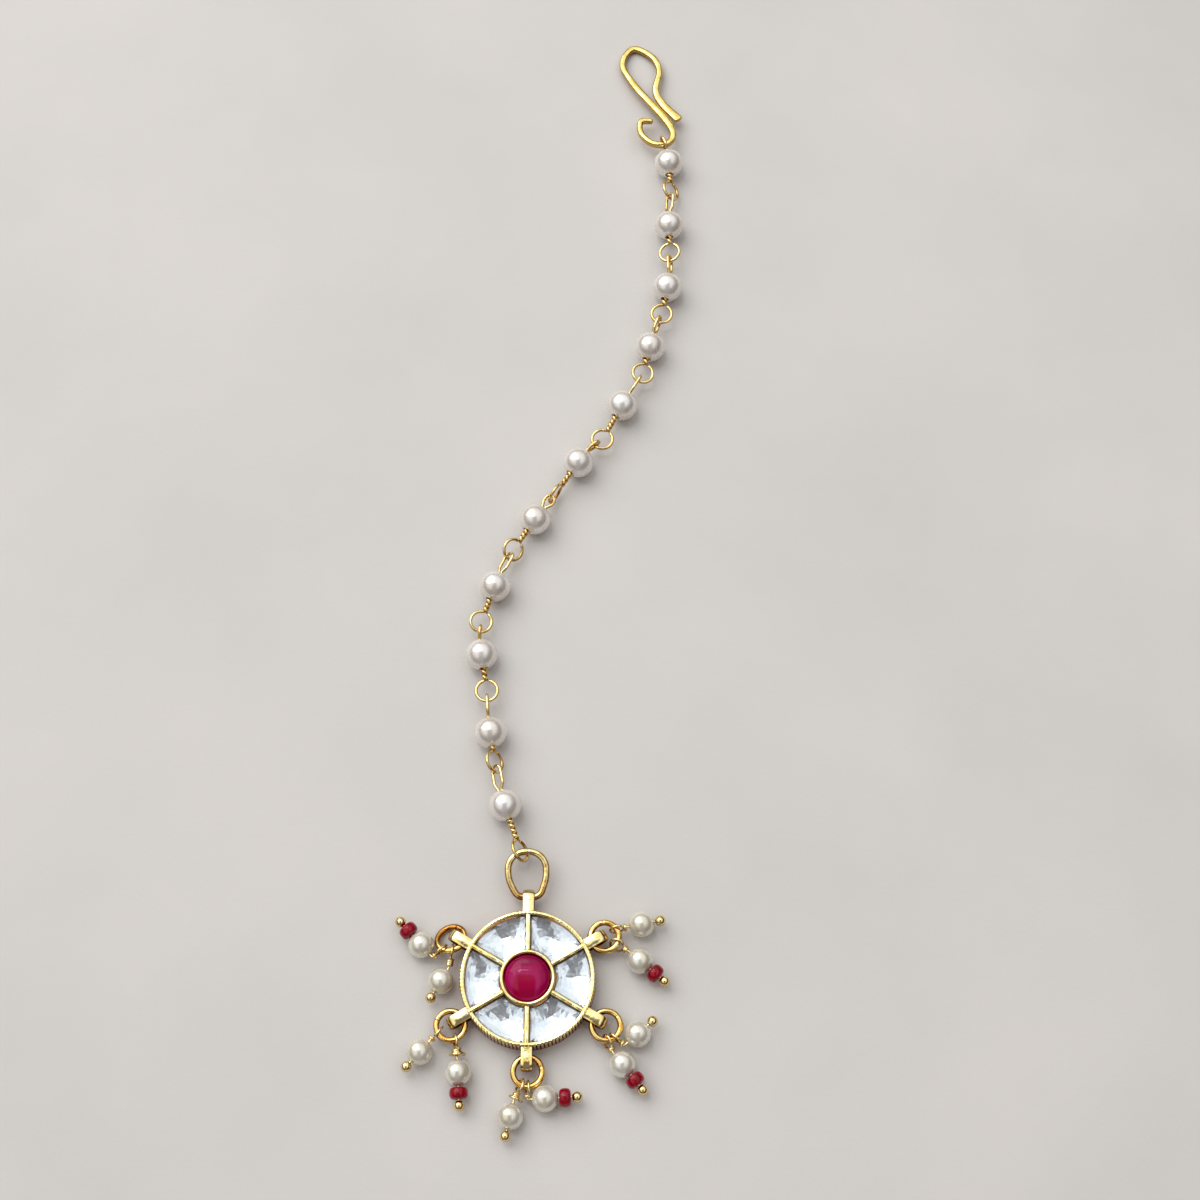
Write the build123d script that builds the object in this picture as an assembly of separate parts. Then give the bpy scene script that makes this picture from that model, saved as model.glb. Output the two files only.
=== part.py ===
"""A maang tikka (forehead jewel) lying on a flat surface, in millimetres.

The origin is the middle of the medallion's flat back, +Z is up out of its face and +Y points
along the chain to the hair hook. Every pearl rests on the plane z = 0.
"""

import math
import os

from build123d import *

# ---- clearance and wires ----
GAP = 0.12  # between pieces that lie beside each other
HOOK_WIRE = 1.2
RING_WIRE = 0.95
JUMP_WIRE = 0.8
LINK_WIRE = 0.52
PIN_WIRE = 0.4  # of a pin's eye
PIN_STEM = 0.36  # of a pin inside its pearl

# ---- medallion ----
MEDALLION_D = 20.4
MEDALLION_H = 3.6
BACK_T = 0.7  # thickness of the back plate
RIM_T = 0.75
EDGE_ROUND = 0.28  # of the metal's top edges
RIM_CORE_T = 0.4  # of the rim's wall behind its ribs
RIB_COUNT = 108  # milled ribs round the side
RIB_DEPTH = 0.3
RIB_SETBACK = 0.03  # of the ribs' crests from the plain bands above and below them
RIB_LOW = 0.35
RIB_HIGH = 3.35
SPOKE_COUNT = 6
SPOKE_T = 0.76
SPOKE_PHASE = 90.0  # heading of the first spoke
COLLET_D = 8.4
COLLET_T = 0.65
COLLET_H = 4.1
STONE_GIRDLE_Z = 2.75
STONE_TABLE_Z = 3.35
STONE_BEVEL = 0.8  # width of the facets round a stone's table
RUBY_GIRDLE_Z = 3.7
RUBY_TOP_Z = 4.9

# ---- strap tabs on the rim, each a strip curled into an eye ----
TAB_W = 1.7
TAB_OUTER_R = 1.33
TAB_INNER_R = 0.95
TAB_REACH = 11.4  # from the medallion's axis to the middle of the eye's inner end
TAB_ROOT = 10.0  # from the medallion's axis to the strip's ends in the rim's wall
TAB_LENGTH = 0.8  # straight run between the eye's two round ends
TAB_Z = 2.1

# ---- pendant ring: a pear-shaped outline, its lower end in the top tab ----
PENDANT_HALF_W = 2.9
PENDANT_TOP_Y = 19.35
PENDANT_LOW_Y = 12.45
PENDANT_LOW_HALF_W = 1.75  # of its narrow lower end
PENDANT_SHOULDER_Y = 15.2  # where its sides start to draw in
PENDANT_SHIFT = 0.3  # of its wide end toward -X
PENDANT_RISE = 0.07  # slope from the tab up to its top

# ---- chain ----
PEARL_D = 5.0
PEARL_BORE = 1.36
STRAND_OFFSET = 0.28  # of each strand of the folded wire from the pearl's axis
DOUBLED_WIRE = 1.14  # the folded wire's two strands together, inside the pearl
HAIRPIN_HALF_W = 0.79
HOOK_HAIRPIN_HALF_W = 1.0  # of the first link's hairpin, which holds the thicker hook
HAIRPIN_KNEE = 0.95  # where a hairpin's strands have spread
STRAND_BEND = 0.6
STRAND_OVERLAP = 0.9  # how far a hairpin's strands reach into the pearl's hole
CORE_SETBACK = 0.35  # of the doubled wire's end from the pearl's face
CORE_TAIL = 0.1  # of the doubled wire into the twisted neck
LOOP_R = 1.7  # of a round loop's centre line
HAIRPIN_SLACK = 0.72  # from a hairpin's end to the middle of the loop that it hangs in
NECK_W = 1.18
NECK_PITCH = 0.5
HOOK_SEAT = 1.9  # from the middle of the hook's lower loop down to its wire
HOOK_FALL = 0.088  # slope of the hook, from the first hairpin down to the floor

# ---- drops ----
DROP_PEARL_D = 3.9
DROP_BORE = 0.66
EYE_R = 1.05  # of an eye loop's centre line
PIN_BEND = 0.3  # of a pin's bent neck
PIN_HEEL = 0.2  # from a pearl's face to its pin's wraps
PIN_SWING = 0.45  # more of it where the neck turns square to the pearl's axis
WRAP_PITCH = 0.42
BALL_D = 1.6
BEAD_D = 2.75
BEAD_L = 1.75

# ---- the chain's lie, from the hook end ----
# axis: heading from a link's round loop to its pearl; neck: length of its twisted neck
# loop_roll, pin_roll: turn of the loop and of the hairpin about their own lengths
# lead: heading from the pearl to the loop that its hairpin hangs in; span: the distance there
LINKS = [
    # axis, neck, loop_roll, lead, span, pin_roll
    (93, 1.4, 45, 104, 6.1, 90),
    (90, 1.2, -15, 87, 7.1, -50),
    (79, 1.1, 0, 86, 6.9, 65),
    (76, 0.9, 10, 72, 6.7, 75),
    (62, 2.9, 0, 60, 7.0, -75),
    (56, 2.5, 90, 47, 5.8, 90),
    (57, 2.2, 40, 55, 5.7, 0),
    (71, 2.2, 12, 66, 7.0, -40),
    (99, 1.9, 0, 92, 5.6, 90),
    (99, 0.6, 50, 96, 6.9, 90),
    (109, 3.3, 55, 104, 7.2, -35),
]
LAST_PEARL = (-3.85, 26.65)  # where the pearl nearest the medallion lies

# ---- the jump rings' lie: tab heading, centre, lean from flat and the heading it leans to ----
JUMP_R = 2.15  # of a jump ring's centre line
JUMP_RINGS = [
    # tab, x, y, z, lean, toward
    (30, 11.5, 6.4, 2.0, 0, 0),
    (150, -11.65, 6.2, 1.5, 28, 117),
    (210, -11.35, -6.8, 1.95, 0, 0),
    (270, 0.15, -13.5, 1.85, 0, 0),
    (330, 11.7, -6.8, 1.9, 0, 0),
]

# ---- the drops' lie ----
# x, y: the pearl's centre; heading: from the pearl to the ball; neck: wraps and eye's tail
# bend, rise: sideways and upward turn of the neck; roll: turn of the eye about the neck
# wrap: the wraps' width
DROPS = [
    # x, y, heading, neck, bend, rise, roll, wrap, red bead
    (-16.1, 5.2, 133, 0.6, 88, 9, 90, 1.2, True),
    (-13.0, -0.2, 240, 1.3, 20, 11, 84, 1.2, False),
    (-15.8, -10.6, 228, 0.6, 0, 0, 80, 1.2, False),
    (-10.1, -13.6, -86, 1.3, 4, 0, 75, 1.6, True),
    (-2.33, -19.85, 257, 1.3, -8, 0, 65, 1.2, False),
    (2.75, -17.32, 3, 0.6, -93, -3, 77, 1.1, True),
    (14.1, -12.4, -51, 0.7, -10, -6, 63, 1.2, True),
    (16.4, -8.0, 40, 0.6, -78, 0, 86, 1.2, False),
    (17.1, 8.3, 11, 0.6, 0, 0, 75, 1.2, False),
    (16.8, 2.8, -40, 0.9, 12, 0, 51, 1.2, True),
]


def heading(degrees):
    """Level unit vector at an angle from +X."""
    return Vector(math.cos(math.radians(degrees)), math.sin(math.radians(degrees)), 0)


def rolled(direction, roll):
    """Unit vector square to a direction, turned about it from level toward +Z."""
    level = Vector(0, 0, 1).cross(direction).normalized()
    turn = math.radians(roll)
    return level * math.cos(turn) + direction.cross(level) * math.sin(turn)


def bent_path(points, radii):
    """Straight runs joined by tangent arcs, one radius for each inner point."""
    edges = []
    start = points[0]
    for i, radius in enumerate(radii, 1):
        back = (points[i - 1] - points[i]).normalized()
        ahead = (points[i + 1] - points[i]).normalized()
        half_turn = (math.pi - math.acos(max(-1, min(1, back.dot(ahead))))) / 2
        cut = radius * math.tan(half_turn)
        middle = (back + ahead).normalized() * radius * (1 / math.cos(half_turn) - 1)
        arc_start = points[i] + back * cut
        arc_end = points[i] + ahead * cut
        edges.append(Line(start, arc_start))
        edges.append(ThreePointArc(arc_start, points[i] + middle, arc_end))
        start = arc_end
    edges.append(Line(start, points[-1]))
    return Wire(edges)


def wire(path, diameter):
    """Round wire along a path."""
    section = Plane(origin=path @ 0, z_dir=path % 0) * Circle(diameter / 2)
    return sweep(section, path=path)


def rod(start, end, diameter):
    """Round bar between two points."""
    span = end - start
    bar = Cylinder(diameter / 2, span.length, align=(Align.CENTER, Align.CENTER, Align.MIN))
    return Plane(origin=start, z_dir=span.normalized()) * bar


def loop(centre, axis, neck_side, radius, diameter):
    """Round loop of wire whose two ends meet in the neck, on the side that neck_side points to."""
    neck_side = (neck_side - axis * neck_side.dot(axis)).normalized()
    gap = math.degrees(GAP / radius)
    arc = CenterArc((0, 0), radius, gap, 360 - 2 * gap)
    return wire(Wire(Plane(origin=centre, x_dir=neck_side, z_dir=axis) * arc), diameter)


def collars(start, direction, length, width, pitch, tail):
    """Turns of wire wound side by side as rounded collars, on a core that is a tail longer."""
    count = max(1, round(length / pitch))
    step = length / count
    collar = Cylinder(width / 2, step * 1.1)
    collar = fillet(collar.edges().filter_by(GeomType.CIRCLE), step * 0.36)
    turns = [
        Plane(origin=start + direction * step * (i + 0.5), z_dir=direction) * collar
        for i in range(count)
    ]
    return rod(start, start + direction * (length + tail), width * 0.7) + turns


# ---- medallion ----
def sector_stone(first_angle):
    """Clear sector stone: walls down to the back plate, ring of facets and a flat table."""
    inner = COLLET_D / 2 + GAP + 0.05
    outer = MEDALLION_D / 2 - RIM_T - GAP
    side = SPOKE_T / 2 + GAP

    def corners(inset, z):
        """Outline with four inner and six outer corners, moved in by an inset."""
        points = []
        for radius, count in ((outer - inset, 6), (inner + inset, 4)):
            edge = math.degrees(math.asin((side + inset) / radius))
            for i in range(count):
                part = i / (count - 1)
                if radius == inner + inset:
                    part = 1 - part
                turn = edge + part * (360 / SPOKE_COUNT - 2 * edge)
                points.append(heading(first_angle + turn) * radius + Vector(0, 0, z))
        return points

    base = Face(Wire.make_polygon(corners(0, BACK_T + GAP), close=True))
    body = extrude(base, STONE_GIRDLE_Z - BACK_T - GAP, dir=(0, 0, 1))
    girdle = Wire.make_polygon(corners(0, STONE_GIRDLE_Z), close=True)
    table = Wire.make_polygon(corners(STONE_BEVEL, STONE_TABLE_Z), close=True)
    crown = Solid.make_loft([girdle, table], ruled=True)
    return body + crown


def ruby():
    """Round cabochon with a low, flat-topped dome."""
    radius = COLLET_D / 2 - COLLET_T - GAP
    flat = radius * 0.42
    shoulder = radius * 0.86
    rise = RUBY_TOP_Z - RUBY_GIRDLE_Z
    with BuildSketch(Plane.XZ) as profile:
        with BuildLine():
            Polyline((0, BACK_T + GAP), (radius, BACK_T + GAP), (radius, RUBY_GIRDLE_Z))
            Spline(
                (radius, RUBY_GIRDLE_Z),
                (shoulder, RUBY_GIRDLE_Z + rise * 0.62),
                (flat, RUBY_TOP_Z),
                tangents=((0, 1), (-1, 0)),
            )
            Polyline((flat, RUBY_TOP_Z), (0, RUBY_TOP_Z), (0, BACK_T + GAP))
        make_face()
    return revolve(profile.sketch, axis=Axis.Z)


def tab(angle):
    """Strip that runs out flat from the rim and curls back into it round a long eye."""
    run = TAB_REACH - TAB_ROOT
    outline = SlotCenterToCenter(TAB_LENGTH, TAB_OUTER_R * 2)
    outline += Pos(-(TAB_LENGTH + run) / 2, 0) * Rectangle(run, TAB_OUTER_R * 2)
    outline -= SlotCenterToCenter(TAB_LENGTH, TAB_INNER_R * 2)
    eye = Pos(0, 0, -TAB_W / 2) * extrude(outline, TAB_W)
    centre = heading(angle) * (TAB_REACH + TAB_LENGTH / 2) + Vector(0, 0, TAB_Z)
    return Plane(origin=centre, x_dir=heading(angle), z_dir=heading(angle + 90)) * eye


def standing_wall(outer, thickness, top):
    """Ring-shaped wall with rounded top edges."""
    up = (Align.CENTER, Align.CENTER, Align.MIN)
    wall = Cylinder(outer, top, align=up) - Cylinder(outer - thickness, top, align=up)
    return fillet(wall.edges().filter_by(GeomType.CIRCLE).group_by(Axis.Z)[-1], EDGE_ROUND)


def ribs():
    """The band of milled ribs round the rim, as one toothed ring."""
    crest = MEDALLION_D / 2 - RIB_SETBACK
    valley = crest - RIB_DEPTH
    points = []
    for i in range(RIB_COUNT):
        for part, radius in ((-0.2, crest), (0.2, crest), (0.5, valley)):
            points.append(heading((i + part) * 360 / RIB_COUNT) * radius + Vector(0, 0, RIB_LOW))
    outline = Face(Wire.make_polygon(points, close=True))
    band = extrude(outline, RIB_HIGH - RIB_LOW, dir=(0, 0, 1))
    return band - Cylinder(MEDALLION_D / 2 - RIM_T, MEDALLION_H * 4)


def setting():
    """The soldered metal: back plate, ribbed rim, spokes, collet and tabs."""
    outer = MEDALLION_D / 2
    up = (Align.CENTER, Align.CENTER, Align.MIN)
    rim = standing_wall(outer, RIM_T, MEDALLION_H)
    groove = Cylinder(outer * 2, RIB_HIGH - RIB_LOW, align=up)
    groove -= Cylinder(outer - RIM_T + RIM_CORE_T, MEDALLION_H, align=up)
    rim -= Pos(0, 0, RIB_LOW) * groove
    body = Cylinder(outer - RIM_T / 2, BACK_T, align=up) + rim + ribs()
    run = outer - RIM_T / 2 - COLLET_D / 2 + COLLET_T / 2
    spoke = Box(run, SPOKE_T, MEDALLION_H, align=(Align.MIN, Align.CENTER, Align.MIN))
    spoke = fillet(spoke.edges().filter_by(Axis.X).group_by(Axis.Z)[-1], EDGE_ROUND)
    spoke = Pos(COLLET_D / 2 - COLLET_T / 2, 0, 0) * spoke
    for i in range(SPOKE_COUNT):
        body += Rot(0, 0, SPOKE_PHASE + i * 360 / SPOKE_COUNT) * spoke
    body += standing_wall(COLLET_D / 2, COLLET_T, COLLET_H)
    body += [tab(SPOKE_PHASE + i * 360 / SPOKE_COUNT) for i in range(SPOKE_COUNT)]
    return body


def pendant_ring():
    """Pear-shaped ring through the top tab's eye, a little raised at its top."""
    left = -PENDANT_HALF_W - PENDANT_SHIFT
    right = PENDANT_HALF_W - PENDANT_SHIFT
    outline = [
        (0, PENDANT_LOW_Y),
        (PENDANT_LOW_HALF_W, PENDANT_LOW_Y),
        (right, PENDANT_SHOULDER_Y),
        (right, PENDANT_TOP_Y),
        (left, PENDANT_TOP_Y),
        (left, PENDANT_SHOULDER_Y),
        (-PENDANT_LOW_HALF_W, PENDANT_LOW_Y),
        (0, PENDANT_LOW_Y),
    ]
    bends = [1.5, 5, 2.7, 2.7, 5, 1.5]
    slope = [TAB_Z + (py - PENDANT_LOW_Y) * PENDANT_RISE for px, py in outline]
    points = [Vector(px, py, pz) for (px, py), pz in zip(outline, slope)]
    return wire(bent_path(points, bends), RING_WIRE)


# ---- chain ----
def chain_poses():
    """Pearl centre and round loop centre of each link, worked out from the medallion's end."""
    poses = [None] * len(LINKS)
    pearl = Vector(*LAST_PEARL, PEARL_D / 2)
    for i in reversed(range(len(LINKS))):
        axis, neck = LINKS[i][:2]
        reach = PEARL_D / 2 + neck + LOOP_R
        if i < len(LINKS) - 1:
            lead, span = LINKS[i + 1][3:5]
            loop = poses[i + 1][0] + heading(lead) * span
            pearl = loop + heading(axis) * reach
        poses[i] = (pearl, pearl - heading(axis) * reach)
    return poses


def link_wire(row, pearl, half_w):
    """One folded wire: hairpin, doubled strands through the pearl, twisted neck, round loop."""
    axis, neck, loop_roll, lead, span, pin_roll = row
    away = heading(axis)
    face = PEARL_D / 2
    root = pearl + away * (face + GAP)
    to_loop = pearl + heading(lead) * span - root
    out = to_loop.normalized()
    side = rolled(away, pin_roll)
    spread = rolled(out, pin_roll)
    end = root + to_loop - out * HAIRPIN_SLACK
    knee = root + out * HAIRPIN_KNEE
    inner_end = pearl + away * (face - STRAND_OVERLAP)
    points = [
        inner_end + side * STRAND_OFFSET,
        root + side * STRAND_OFFSET,
        knee + spread * half_w,
        end + spread * half_w,
        end - spread * half_w,
        knee - spread * half_w,
        root - side * STRAND_OFFSET,
        inner_end - side * STRAND_OFFSET,
    ]
    tip = half_w - 0.02
    bends = [STRAND_BEND, STRAND_BEND, tip, tip, STRAND_BEND, STRAND_BEND]
    link = rod(pearl + away * (face - CORE_SETBACK), pearl - away * (face + CORE_TAIL), DOUBLED_WIRE)
    link += wire(bent_path(points, bends), LINK_WIRE)
    link += collars(pearl - away * face, -away, neck, NECK_W, NECK_PITCH, LINK_WIRE / 2)
    loop_centre = pearl - away * (face + neck + LOOP_R)
    loop_axis = away.cross(rolled(away, loop_roll))
    return link + loop(loop_centre, loop_axis, away, LOOP_R, LINK_WIRE)


def drilled_pearl(centre, axis, diameter, bore):
    """Round pearl with a hole along its axis."""
    return Plane(origin=centre, z_dir=axis) * (Sphere(diameter / 2) - Cylinder(bore / 2, diameter))


# ---- drops ----
def drop_pieces(row):
    """Pin, pearl and red bead (or None) of one drop."""
    x, y, turn, neck, bend, rise, roll, wrap, has_bead = row
    out = heading(turn)
    centre = Vector(x, y, DROP_PEARL_D / 2)
    half = DROP_PEARL_D / 2
    heel = half + PIN_HEEL + PIN_SWING * abs(math.sin(math.radians(bend)))
    root = centre - out * heel
    climb = math.radians(rise)
    back = heading(turn + bend) * -math.cos(climb) + Vector(0, 0, math.sin(climb))
    bead_at = half + GAP + BEAD_L / 2
    ball_at = half + GAP + BALL_D / 2 + (BEAD_L + GAP if has_bead else 0)
    ball = centre + out * ball_at
    eye_centre = root + back * (neck + EYE_R)
    eye_near = root + back * neck
    if bend:
        pin = wire(bent_path([ball, root, eye_near], [PIN_BEND]), PIN_STEM)
    else:
        pin = rod(ball, eye_near, PIN_STEM)
    pin += Plane(origin=ball, z_dir=out) * Sphere(BALL_D / 2)
    knee = PIN_BEND * math.tan(math.radians(abs(bend) / 2))
    pin += collars(root + back * knee, back, neck - knee, wrap, WRAP_PITCH, PIN_WIRE / 2)
    pin += loop(eye_centre, back.cross(rolled(-back, roll)), -back, EYE_R, PIN_WIRE)
    pearl = drilled_pearl(centre, out, DROP_PEARL_D, DROP_BORE)
    bead = None
    if has_bead:
        disc = Cylinder(BEAD_D / 2, BEAD_L)
        disc = fillet(disc.edges().filter_by(GeomType.CIRCLE), BEAD_L * 0.42)
        disc -= Cylinder(DROP_BORE / 2, BEAD_L * 2)
        bead = Plane(origin=centre + out * bead_at, z_dir=out) * disc
    return pin, pearl, bead


def jump_ring(row):
    """Closed ring, leaning from flat."""
    x, y, z, lean, toward = row[1:]
    tilt = math.radians(lean)
    axis = heading(toward) * math.sin(tilt) + Vector(0, 0, math.cos(tilt))
    return Plane(origin=(x, y, z), z_dir=axis) * Torus(JUMP_R, JUMP_WIRE / 2)


# ---- hook ----
def hook(foot):
    """S-shaped hair hook of one wire, its lower loop round the first link's hairpin."""
    bends = [
        (-2.0, 5.0),
        (-3.8, 4.8),
        (-3.75, 2.2),
        (-1.9, 0.1),
        (0.5, -0.15),
        (1.9, 1.8),
        (0.6, 5.4),
        (-4.3, 12.2),
        (-6.95, 17.6),
        (-5.1, 21.5),
        (-1.6, 19.6),
        (-0.35, 16.3),
        (-1.05, 12.0),
        (0.2, 8.8),
        (2.9, 5.5),
    ]
    points = [foot + Vector(px, py, -py * HOOK_FALL) for px, py in bends]
    return wire(Wire([Spline(*points)]), HOOK_WIRE)


def save(node, solid):
    """Write one piece under its node's name."""
    export_step(solid, os.path.join("parts", node + ".step"))


def main():
    os.makedirs("parts", exist_ok=True)
    poses = chain_poses()
    for i, (row, (pearl, loop)) in enumerate(zip(LINKS, poses), 1):
        half_w = HOOK_HAIRPIN_HALF_W if i == 1 else HAIRPIN_HALF_W
        save(f"chain_link_{i:02d}", link_wire(row, pearl, half_w))
        save(f"chain_pearl_{i:02d}", drilled_pearl(pearl, heading(row[0]), PEARL_D, PEARL_BORE))
    lead, span = LINKS[0][3:5]
    save("hook", hook(poses[0][0] + heading(lead) * (span - HOOK_SEAT)))
    save("pendant_ring", pendant_ring())
    save("setting", setting())
    save("ruby", ruby())
    for i in range(SPOKE_COUNT):
        angle = SPOKE_PHASE + i * 360 / SPOKE_COUNT
        save(f"kundan_stone_{i + 1}", sector_stone(angle))
    for i, row in enumerate(JUMP_RINGS, 1):
        save(f"jump_ring_{i}", jump_ring(row))
    beads = []
    for i, row in enumerate(DROPS, 1):
        pin, pearl, bead = drop_pieces(row)
        save(f"drop_pin_{i:02d}", pin)
        save(f"drop_pearl_{i:02d}", pearl)
        if bead:
            beads.append(bead)
    save("drop_red_beads", Compound(beads))


if __name__ == "__main__":
    main()
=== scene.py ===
"""The looks of the maang tikka: wires, pearls, foiled glass, ruby, beads, floor, light and camera."""
import math
import random
from collections import namedtuple

import bpy
from mathutils import Matrix, Vector, noise


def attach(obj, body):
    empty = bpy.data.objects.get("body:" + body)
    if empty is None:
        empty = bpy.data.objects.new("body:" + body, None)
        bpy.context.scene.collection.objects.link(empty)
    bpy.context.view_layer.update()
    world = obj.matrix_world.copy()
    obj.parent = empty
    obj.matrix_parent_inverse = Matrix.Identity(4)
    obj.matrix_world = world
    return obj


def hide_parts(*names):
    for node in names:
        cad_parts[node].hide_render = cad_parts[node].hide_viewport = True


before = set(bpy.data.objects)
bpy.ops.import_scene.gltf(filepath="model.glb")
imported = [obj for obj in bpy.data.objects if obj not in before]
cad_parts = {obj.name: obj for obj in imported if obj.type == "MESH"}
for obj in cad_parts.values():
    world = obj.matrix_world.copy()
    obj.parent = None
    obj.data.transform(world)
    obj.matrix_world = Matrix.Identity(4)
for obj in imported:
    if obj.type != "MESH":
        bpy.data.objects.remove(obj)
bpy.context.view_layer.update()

MM = 0.001
Z = Vector((0, 0, 1))

# ---- camera first ----
CAMERA_PLACE = (0.0108, -0.0488, 0.2874)
CAMERA_TILT = 21  # degrees from straight down
cam_data = bpy.data.cameras.new("camera")
cam_data.lens = 57
cam_data.sensor_width = 36
cam_data.clip_start = 0.01
cam = bpy.data.objects.new("camera", cam_data)
cam.location = CAMERA_PLACE
cam.rotation_euler = (math.radians(CAMERA_TILT), 0, 0)
bpy.context.scene.collection.objects.link(cam)
bpy.context.scene.camera = cam

# ---- the object's values, in millimetres and degrees: the main ones are the part's own ----
GAP = 0.12

# chain
LINK_R = 0.26
PEARL_R = 2.5
PEARL_BORE_R = 0.68
STRAND_OFFSET = 0.28
HAIRPIN_HALF_W = 0.79
HOOK_HAIRPIN_HALF_W = 1.0
HAIRPIN_KNEE = 0.95
HAIRPIN_SLACK = 0.72
HAIRPIN_BEND_R = 0.6
HAIRPIN_INSERT = 0.9  # how far the hairpin's strands reach into the pearl
LOOP_R = 1.7
TWIST_PITCH = 1.6
TWIST_INSERT = 0.8  # how far the twist reaches into the pearl
# axis: heading of the pearl's bore; neck: length of the twist below it; loop_roll, pin_roll: how far
# the round loop and the hairpin are turned about it; lead, span: from the pearl to what the hairpin holds
Link = namedtuple("Link", "axis neck loop_roll lead span pin_roll")
LINKS = [
    Link(93, 1.4, 45, 104, 6.1, 90),
    Link(90, 1.2, -15, 87, 7.1, -50),
    Link(79, 1.1, 0, 86, 6.9, 65),
    Link(76, 0.9, 10, 72, 6.7, 75),
    Link(62, 2.9, 0, 60, 7.0, -75),
    Link(56, 2.5, 90, 47, 5.8, 90),
    Link(57, 2.2, 40, 55, 5.7, 0),
    Link(71, 2.2, 12, 66, 7.0, -40),
    Link(99, 1.9, 0, 92, 5.6, 90),
    Link(99, 0.6, 50, 96, 6.9, 90),
    Link(109, 3.3, 55, 104, 7.2, -35),
]
LAST_PEARL = (-3.85, 26.65)

# hook
HOOK_SEAT = 1.9
HOOK_FALL = 0.088
# place from the hook's foot, and half the wire's width and thickness there
Bend = namedtuple("Bend", "x y half_w half_t")
HOOK_BENDS = [
    Bend(-2.0, 5.0, 0.5, 0.5),
    Bend(-3.8, 4.8, 0.56, 0.54),
    Bend(-3.75, 2.2, 0.54, 0.56),
    Bend(-1.9, 0.1, 0.52, 0.58),
    Bend(0.5, -0.15, 0.55, 0.58),
    Bend(1.9, 1.8, 0.6, 0.56),
    Bend(0.6, 5.4, 0.7, 0.5),
    Bend(-4.3, 12.2, 0.66, 0.5),
    Bend(-6.95, 17.6, 0.58, 0.54),
    Bend(-5.1, 21.5, 0.58, 0.56),
    Bend(-1.6, 19.6, 0.6, 0.54),
    Bend(-0.35, 16.3, 0.58, 0.52),
    Bend(-1.05, 12.0, 0.64, 0.48),
    Bend(0.2, 8.8, 0.72, 0.44),
    Bend(2.9, 5.5, 0.8, 0.38),
]

# drops
DROP_R = 1.95
DROP_BORE_R = 0.33
PIN_R = 0.2
STEM_R = 0.18
STEM_BEND_R = 0.3
HEEL = 0.2  # from the pearl to the pin's bend
HEEL_SWING = 0.45  # and how much more where it bends sideways
EYE_R = 1.05
WRAP_PITCH = 0.42
BALL_R = 0.8
BEAD_R = 1.375
BEAD_L = 1.75
BEAD_NECK_R = 0.62
# turn: heading from the eye to the ball; neck: length of the wraps; bend, rise: the eye's swing sideways
# and up; roll: the eye's turn about its own neck; wrap: the wraps' diameter
Drop = namedtuple("Drop", "x y turn neck bend rise roll wrap has_bead")
DROPS = [
    Drop(-16.1, 5.2, 133, 0.6, 88, 9, 90, 1.2, True),
    Drop(-13.0, -0.2, 240, 1.3, 20, 11, 84, 1.2, False),
    Drop(-15.8, -10.6, 228, 0.6, 0, 0, 80, 1.2, False),
    Drop(-10.1, -13.6, -86, 1.3, 4, 0, 75, 1.6, True),
    Drop(-2.33, -19.85, 257, 1.3, -8, 0, 65, 1.2, False),
    Drop(2.75, -17.32, 3, 0.6, -93, -3, 77, 1.1, True),
    Drop(14.1, -12.4, -51, 0.7, -10, -6, 63, 1.2, True),
    Drop(16.4, -8.0, 40, 0.6, -78, 0, 86, 1.2, False),
    Drop(17.1, 8.3, 11, 0.6, 0, 0, 75, 1.2, False),
    Drop(16.8, 2.8, -40, 0.9, 12, 0, 51, 1.2, True),
]
FLARES = {4: 0.6, 5: 0.75}  # how far the last turn of a drop's wraps stands out

# jump rings and pear-shaped ring
JUMP_R = 2.15
JUMP_WIRE_R = 0.46  # a little stouter than the solid's, and so is the pear-shaped ring's
# lean, toward: how far the ring's axis leans, and the heading it leans to; cut: heading of its cut
Ring = namedtuple("Ring", "x y z lean toward cut")
JUMP_RINGS = [
    Ring(11.5, 6.4, 2.0, 0, 0, 95),
    Ring(-11.65, 6.2, 1.5, 28, 117, 75),
    Ring(-11.35, -6.8, 1.95, 0, 0, 160),
    Ring(0.15, -13.5, 1.85, 0, 0, 20),
    Ring(11.7, -6.8, 1.9, 0, 0, 40),
]
RING_WIRE_R = 0.52
PENDANT_HALF_W = 2.9
PENDANT_TOP_Y = 19.35
PENDANT_LOW_Y = 12.45
PENDANT_LOW_HALF_W = 1.75
PENDANT_SHOULDER_Y = 15.2
PENDANT_SHIFT = 0.3
PENDANT_RISE = 0.07
PENDANT_BENDS = [1.5, 5, 2.7, 2.7, 5, 1.5]  # its corners' radii, round from the low end

# medallion
SECTORS = 6
SECTOR = 360 / SECTORS
FIRST_SPOKE = 90
MEDALLION_R = 10.2
MEDALLION_H = 3.6
BACK_T = 0.7
RIM_T = 0.75
RIB_COUNT = 108
RIB_DEPTH = 0.3
SPOKE_T = 0.76
COLLET_R = 4.2
COLLET_T = 0.65
TAB_W = 1.7
TAB_REACH = 11.4
TAB_LENGTH = 0.8
TAB_MID_R = 1.14
TAB_T = 0.38
TAB_Z = 2.1
TAB_ROOT = 10.0  # from the medallion's axis to the strip's ends in the rim
STONE_BASE_Z = 2.05
STONE_GIRDLE_Z = 2.75
STONE_TABLE_Z = 3.35
STONE_BEVEL = 0.8
STONE_COLLET_GAP = 0.17
RUBY_GIRDLE_Z = 3.7
RUBY_TOP_Z = 4.9
RUBY_WALL = [(3.1, 1.7), (3.43, 2.0), (3.43, 3.62)]  # radius and height up to its girdle
RUBY_FOIL_LOW = 1.12
FOIL_LOW = 1.2  # a stone's foil at its lowest
FOIL_RISE = 0.5  # of every foil, from its middle to its edge


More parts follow.
